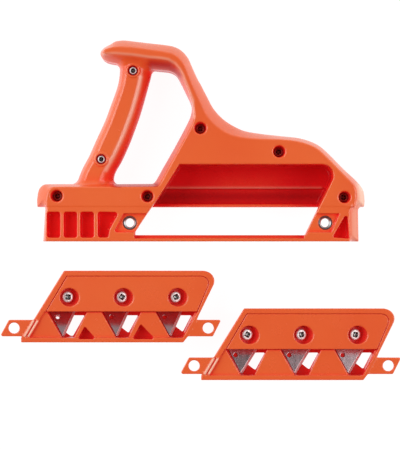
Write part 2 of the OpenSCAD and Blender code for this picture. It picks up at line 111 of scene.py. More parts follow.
def smooth(p, k=6):
    """Closed line through the points (x, y, s), rounded wherever s is 1."""
    n, out = len(p), []
    xy = [np.array(q[:2], float) for q in p]
    slope = []
    for i in range(n):
        a, b, c = xy[i - 1], xy[i], xy[(i + 1) % n]
        size = min(np.linalg.norm(b - a), np.linalg.norm(c - b)) if p[i][2] else 0
        slope.append((c - a) / np.linalg.norm(c - a) * size)
    for i in range(n):
        j = (i + 1) % n
        m = 1 if p[i][2] == 0 and p[j][2] == 0 else k
        for q in range(m):
            t = q / m
            out.append(xy[i] * (2 * t**3 - 3 * t**2 + 1) + slope[i] * (t**3 - 2 * t**2 + t)
                       + xy[j] * (3 * t**2 - 2 * t**3) + slope[j] * (t**3 - t**2))
    return np.array(out)


# ------------------------------------------------------------------ solid fields: negative inside, mm
class Grid:
    """Sample points of a block of space."""

    def __init__(self, lo, hi, h):
        self.lo, self.h = np.array(lo, float), h
        self.n = [int(math.ceil((b - a) / h)) + 1 for a, b in zip(lo, hi)]
        axes = [self.lo[i] + h * np.arange(self.n[i]) for i in range(3)]
        self.x = axes[0][:, None, None].astype(np.float32)
        self.y = axes[1][None, :, None].astype(np.float32)
        self.z = axes[2][None, None, :].astype(np.float32)

    def poly(self, pts):
        """Signed distance in plan to a closed outline."""
        x, y = self.x[:, :, 0], self.y[:, :, 0]
        best = np.full((self.n[0], self.n[1]), 1e9, np.float32)
        inside = np.zeros(best.shape, bool)
        a = np.asarray(pts, np.float32)
        b = np.roll(a, -1, axis=0)
        for (ax, ay), (bx, by) in zip(a, b):
            ex, ey = bx - ax, by - ay
            if ex == 0 and ey == 0:
                continue
            wx, wy = x - ax, y - ay
            t = np.clip((wx * ex + wy * ey) / (ex * ex + ey * ey), 0, 1)
            best = np.minimum(best, (wx - t * ex) ** 2 + (wy - t * ey) ** 2)
            if ay != by:
                inside ^= ((ay > y) != (by > y)) & (x < (bx - ax) * (y - ay) / (by - ay) + ax)
        d = np.sqrt(best)
        return np.where(inside, -d, d)[:, :, None]

    def circle(self, x, y, r):
        return np.sqrt((self.x - x) ** 2 + (self.y - y) ** 2) - np.float32(r)

    def rounded(self, pts, r):
        """Outline with its corners rounded to r: the outline drawn in by r, then grown again."""
        return self.poly(inset(pts, r)) - np.float32(r)


def inset(pts, r):
    """A convex outline drawn in by r."""
    p = np.asarray(pts, float)
    area = 0.5 * np.sum(p[:, 0] * np.roll(p[:, 1], -1) - np.roll(p[:, 0], -1) * p[:, 1])
    if area < 0:
        p = p[::-1]
    out = []
    for i in range(len(p)):
        a, b, c = p[i - 1], p[i], p[(i + 1) % len(p)]
        e, f = (b - a) / np.linalg.norm(b - a), (c - b) / np.linalg.norm(c - b)
        n1, n2 = np.array([-e[1], e[0]]), np.array([-f[1], f[0]])
        m = (n1 + n2) / (1 + n1 @ n2)
        out.append(b + m * r)
    return np.array(out)


def rmax(a, b, r=0.0):
    """Both a and b, with the edge where they meet rounded to r."""
    if not r:
        return np.maximum(a, b)
    return np.minimum(-np.float32(r), np.maximum(a, b)) + np.sqrt(np.maximum(a + r, 0) ** 2 + np.maximum(b + r, 0) ** 2)


def rmin(a, b, r=0.0):
    """Either a or b, with the corner where they meet filled to r."""
    if not r:
        return np.minimum(a, b)
    return np.maximum(np.float32(r), np.minimum(a, b)) - np.sqrt(np.maximum(r - a, 0) ** 2 + np.maximum(r - b, 0) ** 2)


def cut(a, b, r=0.0):
    return rmax(a, -b, r)


def sample(g, f, p):
    """f at any points, and its gradient."""
    def at(q):
        u = (q - g.lo) / g.h
        u = np.clip(u, 0, np.array(g.n) - 1.001)
        i = u.astype(int)
        t = u - i
        out = 0
        for a in (0, 1):
            for b in (0, 1):
                for c in (0, 1):
                    w = (t[:, 0] if a else 1 - t[:, 0]) * (t[:, 1] if b else 1 - t[:, 1]) * (t[:, 2] if c else 1 - t[:, 2])
                    out = out + w * f[i[:, 0] + a, i[:, 1] + b, i[:, 2] + c]
        return out
    grad = np.stack([(at(p + d) - at(p - d)) / g.h for d in np.eye(3) * g.h / 2], axis=1)
    return at(p), grad


def skin(g, f):
    """Even mesh of the surface where f is 0: (points, quads, normals)."""
    f = np.broadcast_to(f, g.n).astype(np.float32)
    s = f < 0
    full = np.zeros([k - 1 for k in g.n], np.int8)
    for a in (0, 1):
        for b in (0, 1):
            for c in (0, 1):
                full += s[a:g.n[0] - 1 + a, b:g.n[1] - 1 + b, c:g.n[2] - 1 + c]
    mask = (full > 0) & (full < 8)
    cells = np.argwhere(mask)
    number = np.full(mask.shape, -1, np.int32)
    number[mask] = np.arange(len(cells))
    total, count = np.zeros((len(cells), 3)), np.zeros(len(cells))
    for axis in range(3):
        step = np.zeros(3, int)
        step[axis] = 1
        others = [k for k in range(3) if k != axis]
        for a in (0, 1):
            for b in (0, 1):
                off = np.zeros(3, int)
                off[others[0]], off[others[1]] = a, b
                p, q = cells + off, cells + off + step
                fp, fq = f[p[:, 0], p[:, 1], p[:, 2]], f[q[:, 0], q[:, 1], q[:, 2]]
                hit = (fp < 0) != (fq < 0)
                t = np.zeros(len(cells))
                t[hit] = fp[hit] / (fp[hit] - fq[hit])
                total[hit] += (off + t[:, None] * step)[hit]
                count[hit] += 1
    points = g.lo + g.h * (cells + total / count[:, None])
    quads = []
    for axis in range(3):
        u, v = [(1, 2), (2, 0), (0, 1)][axis]
        lo = [slice(None)] * 3
        hi = [slice(None)] * 3
        lo[axis], hi[axis] = slice(0, -1), slice(1, None)
        changed = s[tuple(lo)] != s[tuple(hi)]
        at = np.argwhere(changed)
        at = at[(at[:, u] > 0) & (at[:, v] > 0) & (at[:, u] < g.n[u] - 1) & (at[:, v] < g.n[v] - 1)]
        corner = []
        for du, dv in ((-1, -1), (0, -1), (0, 0), (-1, 0)):
            c = at.copy()
            c[:, u] += du
            c[:, v] += dv
            corner.append(number[c[:, 0], c[:, 1], c[:, 2]])
        q = np.stack(corner, axis=1)
        flip = ~s[at[:, 0], at[:, 1], at[:, 2]]
        q[flip] = q[flip][:, ::-1]
        quads.append(q)
    quads = np.concatenate(quads)
    for _ in range(2):
        value, grad = sample(g, f, points)
        size = np.maximum((grad**2).sum(1), 0.25)
        move = (value / size)[:, None] * grad
        points = points - np.clip(move, -0.35 * g.h, 0.35 * g.h)
    _, grad = sample(g, f, points)
    normals = grad / np.maximum(np.linalg.norm(grad, axis=1), 1e-6)[:, None]
    return points, quads, normals


def mesh_piece(name, points, faces, body, nodes, material, at=(0, 0, 0), normals=None, smooth_angle=None):
    me = bpy.data.meshes.new(name)
    pts = (np.asarray(points, float) + np.array(at)) / 1000.0
    faces = np.asarray(faces) if not isinstance(faces, list) else faces
    if isinstance(faces, np.ndarray):
        me.vertices.add(len(pts))
        me.vertices.foreach_set("co", pts.ravel())
        me.loops.add(faces.size)
        me.loops.foreach_set("vertex_index", faces.ravel().astype(np.int32))
        me.polygons.add(len(faces))
        me.polygons.foreach_set("loop_start", np.arange(0, faces.size, faces.shape[1], dtype=np.int32))
        me.update(calc_edges=True)
    else:
        me.from_pydata([tuple(p) for p in pts], [], faces)
    me.validate()
    me.shade_smooth()
    if normals is not None:
        me.normals_split_custom_set_from_vertices([tuple(n) for n in normals])
    elif smooth_angle is not None:
        me.set_sharp_from_angle(angle=math.radians(smooth_angle))
    me.materials.append(material)
    ob = bpy.data.objects.new(name, me)
    scene.collection.objects.link(ob)
    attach(ob, body)
    if nodes:
        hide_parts(*nodes)
    return ob


# ------------------------------------------------------------------ materials
def new_material(name):
    m = bpy.data.materials.new(name)
    m.use_nodes = True
    nt = m.node_tree
    return m, nt, nt.nodes["Principled BSDF"]


def add(nt, kind, **values):
    n = nt.nodes.new(kind)
    for k, v in values.items():
        if k in n.inputs:
            n.inputs[k].default_value = v
        else:
            setattr(n, k, v)
    return n


def plastic(name, colour, deep, rough=0.22, seed=0.0, hollow=(0.93, 0.018, 0.016), painted_glow=0.06, deepest=0.42):
    """Glossy moulded ABS: faint flow marks, fine grain, and a slightly uneven gloss. Hollows get painted shade and a
    painted red glow, marked surfaces get painted shade, and edges and marked crests get painted highlights.
    """
    m, nt, b = new_material(name)
    co = add(nt, "ShaderNodeTexCoord")
    shift = add(nt, "ShaderNodeMapping")
    shift.inputs["Location"].default_value = (seed, seed * 0.7, 0)
    nt.links.new(co.outputs["Object"], shift.inputs["Vector"])
    cloud = add(nt, "ShaderNodeTexNoise", Scale=14.0, Detail=3.0, Roughness=0.5)
    nt.links.new(shift.outputs[0], cloud.inputs["Vector"])
    mix = add(nt, "ShaderNodeMix", data_type="RGBA")
    mix.inputs["A"].default_value = (*colour, 1)
    mix.inputs["B"].default_value = (*deep, 1)
    ramp = add(nt, "ShaderNodeMapRange")
    ramp.inputs["From Min"].default_value, ramp.inputs["From Max"].default_value = 0.35, 0.75
    nt.links.new(cloud.outputs["Fac"], ramp.inputs["Value"])
    nt.links.new(ramp.outputs[0], mix.inputs["Factor"])
    # painted shade: where ambient occlusion finds a hollow the colour goes to a deep red, standing in for light that
    # comes out redder after crossing thin plastic; edges go lighter, a painted highlight (below)
    ao = add(nt, "ShaderNodeAmbientOcclusion", Distance=0.045)
    ao.samples = 10
    deepness = add(nt, "ShaderNodeMapRange")
    deepness.inputs["From Min"].default_value, deepness.inputs["From Max"].default_value = 0.93, deepest
    nt.links.new(ao.outputs["AO"], deepness.inputs["Value"])
    red = add(nt, "ShaderNodeMix", data_type="RGBA")
    red.inputs["B"].default_value = (*hollow, 1)
    nt.links.new(deepness.outputs[0], red.inputs["Factor"])
    nt.links.new(mix.outputs["Result"], red.inputs["A"])
    # painted shade: surfaces marked on the mesh, which see mostly other red surfaces, are mixed toward a darker red
    shade = add(nt, "ShaderNodeAttribute", attribute_name="shade")
    shaded = add(nt, "ShaderNodeMix", data_type="RGBA")
    shaded.inputs["B"].default_value = (*[c * 0.6 for c in hollow], 1)
    nt.links.new(shade.outputs["Fac"], shaded.inputs["Factor"])
    nt.links.new(red.outputs["Result"], shaded.inputs["A"])
    dull = add(nt, "ShaderNodeMath", operation="MAXIMUM")
    nt.links.new(deepness.outputs[0], dull.inputs[0])
    nt.links.new(shade.outputs["Fac"], dull.inputs[1])
    # painted highlight: convex edges, found by pointiness, are mixed toward a pale orange
    geo = add(nt, "ShaderNodeNewGeometry")
    crest = add(nt, "ShaderNodeMapRange")
    crest.inputs["From Min"].default_value, crest.inputs["From Max"].default_value = 0.53, 0.66
    crest.inputs["To Max"].default_value = 0.5
    nt.links.new(geo.outputs["Pointiness"], crest.inputs["Value"])
    pale = add(nt, "ShaderNodeMix", data_type="RGBA")
    pale.inputs["B"].default_value = (1.0, 0.42, 0.22, 1)
    nt.links.new(crest.outputs[0], pale.inputs["Factor"])
    nt.links.new(shaded.outputs["Result"], pale.inputs["A"])
    # painted highlights on crests, marked on the mesh by how near each point is to the crest line
    crest_line = add(nt, "ShaderNodeAttribute", attribute_name="crest")
    painted_crest_highlight = add(nt, "ShaderNodeMix", data_type="RGBA")
    painted_crest_highlight.inputs["B"].default_value = (1.0, 0.64, 0.46, 1)
    nt.links.new(crest_line.outputs["Fac"], painted_crest_highlight.inputs["Factor"])
    nt.links.new(pale.outputs["Result"], painted_crest_highlight.inputs["A"])
    nt.links.new(painted_crest_highlight.outputs["Result"], b.inputs["Base Color"])
    spec = add(nt, "ShaderNodeMapRange")
    spec.inputs["To Min"].default_value, spec.inputs["To Max"].default_value = 0.7, 0.12
    nt.links.new(dull.outputs[0], spec.inputs["Value"])
    nt.links.new(spec.outputs[0], b.inputs["Specular IOR Level"])
    # painted glow: hollows give off a faint red emission, though the plastic is no lamp
    through = add(nt, "ShaderNodeMapRange")
    through.inputs["To Max"].default_value = painted_glow
    nt.links.new(deepness.outputs[0], through.inputs["Value"])
    b.inputs["Emission Color"].default_value = (0.9, 0.03, 0.03, 1)
    nt.links.new(through.outputs[0], b.inputs["Emission Strength"])
    gloss = add(nt, "ShaderNodeTexNoise", Scale=60.0, Detail=4.0, Roughness=0.6)
    nt.links.new(shift.outputs[0], gloss.inputs["Vector"])
    rr = add(nt, "ShaderNodeMapRange")
    rr.inputs["To Min"].default_value, rr.inputs["To Max"].default_value = rough - 0.05, rough + 0.09
    nt.links.new(gloss.outputs["Fac"], rr.inputs["Value"])
    nt.links.new(rr.outputs[0], b.inputs["Roughness"])
    grain = add(nt, "ShaderNodeTexNoise", Scale=900.0, Detail=2.0)
    nt.links.new(shift.outputs[0], grain.inputs["Vector"])
    bump = add(nt, "ShaderNodeBump", Strength=0.06, Distance=0.0002)
    nt.links.new(grain.outputs["Fac"], bump.inputs["Height"])
    nt.links.new(bump.outputs[0], b.inputs["Normal"])
    b.inputs["IOR"].default_value = 1.5
    return m


def metal(name, colour, rough, streak=(1, 1, 1), seed=0.0, scale=300.0, bump_amount=0.08, recess_shade=False):
    """Metal with fine machining or plating marks."""
    m, nt, b = new_material(name)
    co = add(nt, "ShaderNodeTexCoord")
    mp = add(nt, "ShaderNodeMapping")
    mp.inputs["Scale"].default_value = streak
    mp.inputs["Location"].default_value = (seed, seed, seed)
    nt.links.new(co.outputs["Object"], mp.inputs["Vector"])
    n1 = add(nt, "ShaderNodeTexNoise", Scale=scale, Detail=4.0, Roughness=0.6)
    nt.links.new(mp.outputs[0], n1.inputs["Vector"])
    tone = add(nt, "ShaderNodeMix", data_type="RGBA")
    tone.inputs["A"].default_value = (*[c * 0.72 for c in colour], 1)
    tone.inputs["B"].default_value = (*[min(1, c * 1.12) for c in colour], 1)
    nt.links.new(n1.outputs["Fac"], tone.inputs["Factor"])
    out = tone.outputs["Result"]
    if recess_shade:
        # painted shade: the cross recess, found by ambient occlusion, is darkened to near black
        ao = add(nt, "ShaderNodeAmbientOcclusion", Distance=0.0022)
        ao.samples = 8
        recess_shade_level = add(nt, "ShaderNodeMapRange")
        recess_shade_level.inputs["From Min"].default_value, recess_shade_level.inputs["From Max"].default_value = 0.66, 0.38
        nt.links.new(ao.outputs["AO"], recess_shade_level.inputs["Value"])
        recess_shaded = add(nt, "ShaderNodeMix", data_type="RGBA")
        recess_shaded.inputs["B"].default_value = (0.035, 0.03, 0.028, 1)
        nt.links.new(recess_shade_level.outputs[0], recess_shaded.inputs["Factor"])
        nt.links.new(out, recess_shaded.inputs["A"])
        out = recess_shaded.outputs["Result"]
    nt.links.new(out, b.inputs["Base Color"])
    rr = add(nt, "ShaderNodeMapRange")
    rr.inputs["To Min"].default_value, rr.inputs["To Max"].default_value = rough * 0.7, rough * 1.4
    nt.links.new(n1.outputs["Fac"], rr.inputs["Value"])
    nt.links.new(rr.outputs[0], b.inputs["Roughness"])
    bump = add(nt, "ShaderNodeBump", Strength=bump_amount, Distance=0.0002)
    nt.links.new(n1.outputs["Fac"], bump.inputs["Height"])
    nt.links.new(bump.outputs[0], b.inputs["Normal"])
    b.inputs["Metallic"].default_value = 1.0
    return m


# hollow, deepest and the glow setting give each moulding's painted shade and painted red glow in its hollows; the rear
# shell's painted shade is darker and its glow weaker
ORANGE = plastic("orange_abs", (0.90, 0.158, 0.038), (0.87, 0.128, 0.030))
ORANGE_REAR = plastic("orange_abs_rear", (0.90, 0.150, 0.036), (0.85, 0.12, 0.026), rough=0.26, seed=3.1, hollow=(0.77, 0.009, 0.013), painted_glow=0.03, deepest=0.58)
ORANGE_CART = plastic("orange_abs_cartridge", (0.89, 0.150, 0.036), (0.86, 0.12, 0.028), rough=0.24, seed=7.7, hollow=(0.80, 0.026, 0.020), painted_glow=0.06)
ZINC = metal("bright_zinc", (0.95, 0.93, 0.92), 0.30, recess_shade=True)
DARK_ZINC = metal("dark_phosphate", (0.46, 0.19, 0.16), 0.5, seed=4.0)
TURNED = metal("turned_steel", (0.55, 0.54, 0.54), 0.17)
BLADE = metal("ground_blade", (0.71, 0.55, 0.58), 0.21, streak=(1, 0.06, 1), scale=400.0, seed=2.0, bump_amount=0.015)
BLADE_EDGE = metal("honed_edge", (0.96, 0.93, 0.92), 0.42, seed=5.0)
BLADE_EDGE.node_tree.nodes["Principled BSDF"].inputs["Metallic"].default_value = 0.25
ZINC.node_tree.nodes["Principled BSDF"].inputs["Metallic"].default_value = 0.4
BLADE.node_tree.nodes["Principled BSDF"].inputs["Metallic"].default_value = 0.94
BRASS = metal("turned_brass", (0.72, 0.52, 0.22), 0.3)


def mark(ob, points, lines, label="crest"):
    """Marks the points near each (line, half width, strength, lowest z, highest z), as a painted highlight on a crest
    or as painted shade.
    """
    value = np.zeros(len(points))
    for line, width, strength, z0, z1 in lines:
        best = np.full(len(points), 1e9)
        for a, b in zip(line[:-1], line[1:]):
            e = np.array(b, float) - np.array(a, float)
            w = points[:, :2] - np.array(a, float)
            t = np.clip(w @ e / (e @ e), 0, 1)
            best = np.minimum(best, ((w - t[:, None] * e) ** 2).sum(1))
        inside = (points[:, 2] > z0) & (points[:, 2] < z1)
        value = np.maximum(value, np.where(inside, strength * np.exp(-best / width**2), 0))
    ob.data.attributes.new(label, "FLOAT", "POINT").data.foreach_set("value", value.astype(np.float32))
    return ob


# ------------------------------------------------------------------ plane body
FACE_Z, MID_Z, FENCE_Z, SOLE_Y = 45.0, 22.5, 31.0, 12.0


def half_body(g, up):
    """Frame and grip of one shell half. up is the height towards that half's flat face."""
    dm = g.poly(smooth([(r[0], r[1], r[4]) for r in RIM]))
    df = g.poly(smooth([(r[2], r[3], r[4]) for r in RIM]))
    s = np.clip((up - 31.5) / 13.5, 0, 1) ** 1.35
    frame3 = rmax(dm * (1 - s) + df * s, up - FACE_Z, 0.9)
    n = len(GRIP) - 1
    mid = [(r[0], r[1], i % n and 1) for i, r in enumerate(GRIP)] + [(r[2], r[3], (i % n) and 1) for i, r in reversed(list(enumerate(GRIP)))]
    flat = [(r[4], r[5], i % n and 1) for i, r in enumerate(GRIP)] + [(r[6], r[7], (i % n) and 1) for i, r in reversed(list(enumerate(GRIP)))]
    t = np.clip((up - 25.5) / 11.5, 0, 1) ** 1.35
    grip3 = rmax(g.poly(smooth(mid)) * (1 - t) + g.poly(smooth(flat)) * t, up - 37, 2.8)
    return rmin(frame3, grip3, 4.0)


def box3(g, lo, hi, r=0.0):
    f = None
    for v, a, b in ((g.x, lo[0], hi[0]), (g.y, lo[1], hi[1]), (g.z, lo[2], hi[2])):
        if a is not None and b is not None:
            e = np.abs(v - (a + b) / 2) - (b - a) / 2
        elif a is not None:
            e = a - v
        elif b is not None:
            e = v - b
        else:
            continue
        f = e if f is None else rmax(f, e, r)
    return f


def front_shell():
    g = Grid((-146.5, -15.5, 21.4), (106.5, 141, 46.6), 0.55)
    u = half_body(g, g.z)
    pm = g.poly([(-139.3, -14.2), (-137.6, 13), (98.8, 13), (99.3, -14.2)])
    pf = g.poly([(-136.9, -13.9), (-135.3, 13), (91.6, 13), (91.8, -13.9)])
    s = np.clip((g.z - 34) / 10.6, 0, 1) ** 1.3
    plate = rmax(rmax(pm * (1 - s) + pf * s, g.z - 44.7, 0.6), FENCE_Z - g.z, 0.5)
    # the step at the nose end is filled with a soft fillet
    near = np.clip((g.x - 88) / 5, 0, 1)
    u = rmin(u, plate, 0.4) * (1 - near) + rmin(u, plate, 3.2) * near
    for x, y in GRIP_SCREWS:
        u = rmin(u, rmax(g.circle(x, y, 5.3), g.z - 37.9, 0.7), 0.9)
    window = g.poly(smooth(WINDOW))
    u = cut(u, window, 0.8)
    u = cut(u, box3(g, (-70, -11.7, 38), (57.5, -8, None), 0.3), 0.25)
    left = g.poly(smooth([(-78.0, 6.9, 0), (-84.6, -5.6, 1), (-83.2, -7.1, 0), (-50, -7.1, 0), (-40, 6.9, 0)]))
    right = g.poly([(50, 6.9), (84, 6.9), (77.8, -7.1), (40, -7.1)])
    for e in (left, right):
        u = cut(u, rmax(e, 42 - g.z, 0.5), 0.6)
    for s in (-1, 1):
        u = cut(u, g.circle(s * SEAT, 0, 5.33), 0.25)
        u = cut(u, rmax(g.circle(s * SEAT, 0, 7.15), g.z - 32.65, 0.2), 0.2)
    for pts in ([(-135.6, -11.1), (-125.6, -11.1), (-125.6, 8.2), (-135.6, 8.2)],
                [(-123, -11.1), (-113, -11.1), (-113, 8.2), (-123, 8.2)],
                [(-110.6, -11.1), (-100.4, -11.1), (-100.4, 8.2), (-110.6, 8.2)],
                [(-97.4, -11), (-89.6, -11), (-88.6, -4.8), (-81.6, 7.9), (-97.4, 8.3)],
                [(90.0, 4.9), (87.9, 4.9), (78.8, -10.9), (91.2, -11.9)]):
        pocket = rmax(g.rounded(pts, 0.9 if pts[0][0] > 0 else 1.9), 33.5 - g.z, 1.2)
        u = cut(u, pocket, 0.7)
    for x, y in SHELL_SCREWS:
        u = cut(u, rmax(g.circle(x, y, 3.7) - 0.75 * np.clip((g.z - 33) / 12, 0, 1), 32 - g.z, 0.4), 1.2)
        u = cut(u, g.circle(x, y, 2.15))
    for x, y in GRIP_SCREWS:
        u = cut(u, rmax(g.circle(x, y, 3.85), 34 - g.z, 0.3), 0.5)
        u = cut(u, g.circle(x, y, 1.95))
    u = rmax(u, MID_Z - g.z, 0.4)
    p, q, n = skin(g, u)
    ob = mesh_piece("front_shell_moulded", p, q, "plane", ["front_shell"], ORANGE, BODY_AT, n)
    grip_crest = [(-65.3, 110), (-67.0, 101.0), (-71.9, 84.1), (-78.2, 67.2), (-85.6, 51.2), (-91.5, 40)]
    bar_crest = [(-93.4, 126.8), (-84.4, 127.2), (-78.4, 126.7), (-69.4, 125.9), (-59.5, 124.4), (-49.4, 123.6), (-44.5, 122.6),
                 (-39.4, 119.6), (-35.9, 115.4), (-33.4, 110.8), (-29.4, 100.4), (-25.9, 92), (-25.9, 86), (-25, 79)]
    right_end = [(96, -13), (95.5, 10)]
    end_block = [(101.5, 15), (101, 27)]
    # painted shade on the bar's underside, the band's top slope inside the hand hole, the grip's finger flank, the
    # diagonal's inner slope and the ledge strip; painted highlights along the grip's ridge, the bar's lower edge, the
    # right end and the end block
    mark(ob, p, [([(-57, 119.6), (-43.5, 118), (-36.6, 111.5)], 3.2, 0.9, 22, 44.4), ([(-84, 28.6), (-53.5, 28.6)], 2.6, 1.0, 22, 44.8),
                 ([(-57.5, 109), (-63.5, 90), (-72, 64), (-82, 42), (-84, 34)], 3.6, 0.45, 22, 37.5),
                 ([(-28, 88), (-28, 82), (-42.3, 50.6), (-54, 29.6)], 2.2, 0.45, 22, 44.6),
                 ([(-70, -10), (57, -10)], 1.8, 0.35, 37, 41)], "shade")
    return mark(ob, p, [(grip_crest, 1.5, 0.55, 33, 46), (bar_crest, 1.0, 0.4, 40, 46), (right_end, 3, 0.3, 30, 43), (end_block, 4, 0.9, 23, 43.5)])


def rear_shell():
    g = Grid((-146.5, 10.5, -1.1), (106.5, 141, 23.8), 0.65)
    u = half_body(g, FACE_Z - g.z)
    u = rmax(u, g.z - MID_Z, 0.4)
    hole = rmax(rmax(g.poly(smooth(WINDOW)), 14.5 - g.y), 6 - g.z, 1.5)
    bed = rmax(26.3 - g.y, g.z - (9.6 - 0.12 * np.maximum(g.y - 26.3, 0)), 1.3)
    hole = cut(hole, bed, 1.0)
    u = cut(u, hole, 1.3)
    for x, y in SHELL_SCREWS:
        u = cut(u, rmax(g.circle(x, y, 1.98), 6 - g.z))
    for x, y in GRIP_SCREWS:
        u = cut(u, rmax(g.circle(x, y, 1.78), 11 - g.z))
    p, q, n = skin(g, u)
    ob = mesh_piece("rear_shell_moulded", p, q, "plane", ["rear_shell"], ORANGE_REAR, BODY_AT, n)
    # painted shade on the chamber's lower floor and a painted highlight along the bed's ridge
    mark(ob, p, [([(-50, 20.6), (70, 20.6)], 4.4, 1.0, 5, 16)], "shade")
    return mark(ob, p, [([(-46, 26.5), (72, 26.5)], 1.3, 0.3, 7, 11)])


# ------------------------------------------------------------------ screws and inserts
def pan_head(head_r, head_h, shank_r, length, h):
    """Rounded pan head with a cross recess, and its shank; the seat is at z = 0."""
    g = Grid((-head_r - 0.6, -head_r - 0.6, -1.4), (head_r + 0.6, head_r + 0.6, head_h + 0.6), h)
    rad = np.sqrt(g.x**2 + g.y**2)
    top = head_h - 0.022 * rad**2
    f = rmax(rmax(rad - head_r, g.z - top, head_h * 0.3), -g.z, 0.15)
    f = rmin(f, rmax(rad - shank_r, -1.0 - g.z), 0.2)
    depth = g.z - head_h * 0.2
    for a, b in ((g.x, g.y), (g.y, g.x)):
        wing = rmax(np.abs(a) - head_r * 0.125 - 0.06 * depth, np.abs(b) - head_r * 0.46 - 0.26 * depth, 0.1)
        f = cut(f, rmax(wing, -depth, 0.1), 0.12)
    f = cut(f, rmax(rad - head_r * 0.17 - 0.2 * depth, -depth + 0.3 * rad, 0.1), 0.15)
    p, q, n = skin(g, f)
    quads = [tuple(k) for k in q]
    points, normals = [tuple(v) for v in p], [tuple(v) for v in n]
    # threaded shank: a stack of ridges
    rings, seg, pitch = [], 20, 1.2 if shank_r > 1.8 else 1.0
    z = -0.9
    while z > -length + 0.6:
        rings += [(shank_r, z), (shank_r * 0.82, z - pitch / 2)]
        z -= pitch
    rings += [(shank_r * 0.8, -length + 0.3), (shank_r * 0.5, -length)]
    base = len(points)
    for r, zz in rings:
        for k in range(seg):
            a = 2 * math.pi * k / seg
            points.append((r * math.cos(a), r * math.sin(a), zz))
            normals.append((math.cos(a), math.sin(a), 0.0))
    for j in range(len(rings) - 1):
        for k in range(seg):
            k2 = (k + 1) % seg
            quads.append((base + j * seg + k, base + (j + 1) * seg + k, base + (j + 1) * seg + k2, base + j * seg + k2))
    last = base + (len(rings) - 1) * seg
    tail = [last + k for k in reversed(range(seg))]
    first = [base + k for k in range(seg)]
    return points, quads + [tuple(tail), tuple(first)], normals


def screw_group(name, body, node, places, shape, finish):
    """places: (matrix in mm) for each screw."""
    points, faces, normals = [], [], []
    for m in places:
        off = len(points)
        r = m.to_3x3()
        points += [tuple(m @ Vector(p)) for p in shape[0]]
        normals += [tuple(r @ Vector(n)) for n in shape[2]]
        faces += [tuple(i + off for i in f) for f in shape[1]]
    return mesh_piece(name, points, faces, body, [node], finish, (0, 0, 0), normals)


def lathe(profile, seg=64):
    points, faces = [], []
    n = len(profile)
    for k in range(seg):
        a = 2 * math.pi * k / seg
        points += [(r * math.cos(a), r * math.sin(a), z) for r, z in profile]
    for k in range(seg):
        k2 = (k + 1) % seg
        for j in range(n):
            j2 = (j + 1) % n
            faces.append((k * n + j, k2 * n + j, k2 * n + j2, k * n + j2))
    return points, faces


def seat_insert(name, side):
    """Flanged steel bush, open right through, with the crests of its thread inside."""
    prof = [(7.1, 31.02), (7.1, 32.4), (6.95, 32.58), (5.3, 32.6), (5.3, 41.65), (4.95, 42.0), (4.25, 42.0), (4.1, 41.9)]
    z = 41.3
    while z > 32.2:
        prof += [(3.36, z), (3.33, z - 0.16), (3.98, z - 0.62), (3.98, z - 0.76)]
        z -= 1.25
    prof += [(3.5, 31.6), (4.2, 31.02)]
    points, faces = lathe(prof)
    at = (BODY_AT[0] + side * SEAT, BODY_AT[1], 0)
    faces = [tuple(reversed(f)) for f in faces]
    return mesh_piece(name + "_turned", points, faces, "plane", [name], TURNED, at, smooth_angle=32)


# ------------------------------------------------------------------ cartridges
CART = [
    (-35.7, 43.4, 0), (69.5, 43.4, 1), (74.8, 41.8, 1), (77.9, 37.8, 1), (77.7, 33, 1),
    (66.3, 9.6, 0), (65, 6.4, 0), (57.6, -7, 0), (54.6, -10.9, 0), (-68.2, -10.9, 0),
    (-68.2, -7.4, 0), (-58.6, 6.4, 0),
]
CLAMP = [
    (-33.4, 39.2, 0), (67.6, 39.2, 1), (71.6, 38, 1), (73.6, 35, 1), (73.2, 31.6, 1), (65, 12.5, 0), (-49.2, 12.5, 0),
]
CLAMP_SEAT = [
    (-33.7, 39.4, 0), (67.7, 39.4, 1), (71.75, 38.15, 1), (73.8, 35.15, 1), (73.4, 31.5, 1), (65.2, 12.1, 0), (-49.7, 12.1, 0),
]
EDGE_Y, TIP_Y, BLADE_X, SCREW_X, PITCH, RAKE, DEPTH = 12.4, -7.0, -38.6, -31.4, 41.0, 8.0, 34.0
BED_WALL, SCREW_RAKE = 3.2, 17.0
FENCE_C = DEPTH - 14.0


def blade_line(bed):
    n = (EDGE_Y - TIP_Y) / math.cos(math.radians(bed))
    left, back, right = blade_reach(bed)
    return [(-2.6, 15.4), (left, back), (left, 0), (0.6, -n), (2.2, -n), (right, 0), (right, 15.4)]


def blade_reach(bed):
    """Left side, where its rear taper starts, and right side."""
    return (-10.5, 0.3, 10.7) if bed > 15 else (-9.8, 2, 14.4)


def bed_matrix(i, bed, lean=RAKE):
    return (Matrix.Translation((BLADE_X + i * PITCH, EDGE_Y, FENCE_C - (EDGE_Y - TIP_Y) * math.tan(math.radians(bed))))
            @ Matrix.Rotation(math.radians(-bed), 4, "X") @ Matrix.Rotation(math.radians(lean), 4, "Y"))


def screw_matrix(i):
    return (Matrix.Translation((SCREW_X + i * PITCH, 23.3, DEPTH - 0.2)) @ Matrix.Rotation(math.radians(SCREW_RAKE), 4, "Y")
            @ Matrix.Translation((0, 0, -8)))


def local(g, m):
    """Coordinates of the grid's points in the frame m."""
    k = np.array(m.inverted())
    return [np.float32(k[a, 0]) * g.x + np.float32(k[a, 1]) * g.y + np.float32(k[a, 2]) * g.z + np.float32(k[a, 3]) for a in range(3)]


def convex(pts, x, y, r=0.0):
    p = np.asarray(pts, float)
    if 0.5 * np.sum(p[:, 0] * np.roll(p[:, 1], -1) - np.roll(p[:, 0], -1) * p[:, 1]) < 0:
        p = p[::-1]
    f = None
    for a, b in zip(p, np.roll(p, -1, axis=0)):
        e = (b - a) / np.linalg.norm(b - a)
        d = (x - a[0]) * np.float32(e[1]) - (y - a[1]) * np.float32(e[0])
        f = d if f is None else rmax(f, d, r)
    return f


